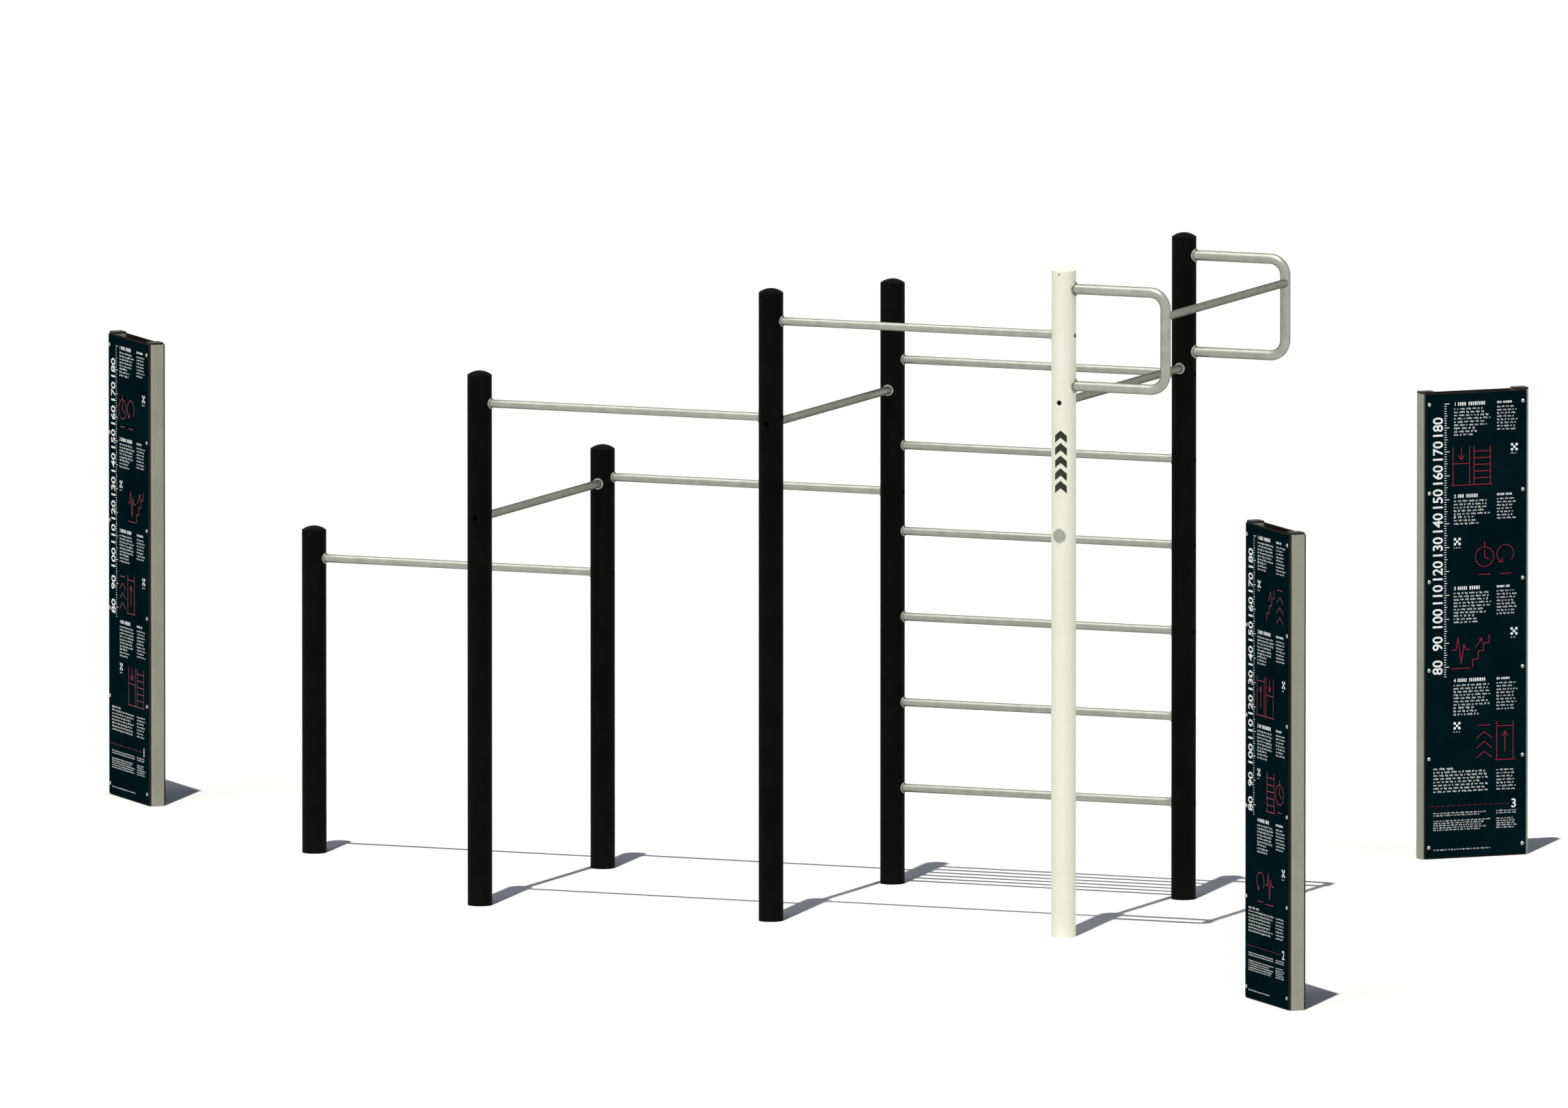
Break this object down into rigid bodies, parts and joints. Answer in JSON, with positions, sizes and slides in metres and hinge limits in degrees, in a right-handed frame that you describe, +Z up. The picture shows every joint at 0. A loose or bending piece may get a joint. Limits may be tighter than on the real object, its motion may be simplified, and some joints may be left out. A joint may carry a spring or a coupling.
{
  "type": "outdoor fitness station",
  "caption": "Street training set of round steel posts joined by pull-up bars, a wall-bar ladder and looped grip brackets, with free-standing information boards beside it.",
  "frame": {"origin": "centre of the whole footprint, boards included, on the ground", "axes": "+X along the long rows of posts, towards the looped brackets; +Y from the front row of posts to the rear row; +Z up"},
  "size_m": [7.2424, 5.0454, 2.768],
  "materials": {
    "black_powder_coat": "fine-textured matt black powder coat on galvanised steel",
    "cream_powder_coat": "satin cream-white powder coat on galvanised steel",
    "satin_steel": "satin, slightly mottled steel tube",
    "stainless_fasteners": "plain stainless steel",
    "blackened_fasteners": "black oxide steel",
    "zinc_fittings": "zinc-plated steel",
    "board_upright": "powder-coated extrusion, warm grey satin",
    "board_laminate": "dark compact laminate with a brown core",
    "black_plastic": "moulded black plastic",
    "grey_plate": "plain grey plate"
  },
  "bodies": {
    "root": {"far_left_post": "black_powder_coat", "far_left_post_cap": "black_powder_coat", "rear_left_post": "black_powder_coat", "rear_left_post_cap": "black_powder_coat", "front_left_post": "black_powder_coat", "front_left_post_cap": "black_powder_coat", "rear_middle_post": "black_powder_coat", "rear_middle_post_cap": "black_powder_coat", "front_middle_post": "black_powder_coat", "front_middle_post_cap": "black_powder_coat", "rear_right_post": "black_powder_coat", "rear_right_post_cap": "black_powder_coat", "front_right_post": "cream_powder_coat", "front_right_post_cap": "cream_powder_coat", "post_cap_screws": "blackened_fasteners", "low_bar": "satin_steel", "middle_bar": "satin_steel", "high_bar": "satin_steel", "top_bar": "satin_steel", "left_link_bar": "satin_steel", "middle_link_bar": "satin_steel", "right_link_bar": "satin_steel", "wall_bar_1": "satin_steel", "wall_bar_2": "satin_steel", "wall_bar_3": "satin_steel", "wall_bar_4": "satin_steel", "wall_bar_5": "satin_steel", "wall_bar_6": "satin_steel", "grip_bar": "satin_steel", "front_grip_bracket": "satin_steel", "rear_grip_bracket": "satin_steel", "bar_collars": "satin_steel", "arm_collars": "satin_steel", "bar_end_plugs": "zinc_fittings", "arm_end_plugs": "zinc_fittings", "bar_end_bolts": "stainless_fasteners", "bar_end_washers": "stainless_fasteners", "round_plate": "grey_plate", "left_board_left_upright": "board_upright", "left_board_right_upright": "board_upright", "left_board_front_sheet": "board_laminate", "left_board_back_sheet": "board_laminate", "left_board_caps": "black_plastic", "left_board_screws": "stainless_fasteners", "front_board_left_upright": "board_upright", "front_board_right_upright": "board_upright", "front_board_front_sheet": "board_laminate", "front_board_back_sheet": "board_laminate", "front_board_caps": "black_plastic", "front_board_screws": "stainless_fasteners", "rear_board_left_upright": "board_upright", "rear_board_right_upright": "board_upright", "rear_board_front_sheet": "board_laminate", "rear_board_back_sheet": "board_laminate", "rear_board_caps": "black_plastic", "rear_board_screws": "stainless_fasteners"}
  },
  "joints": []
}
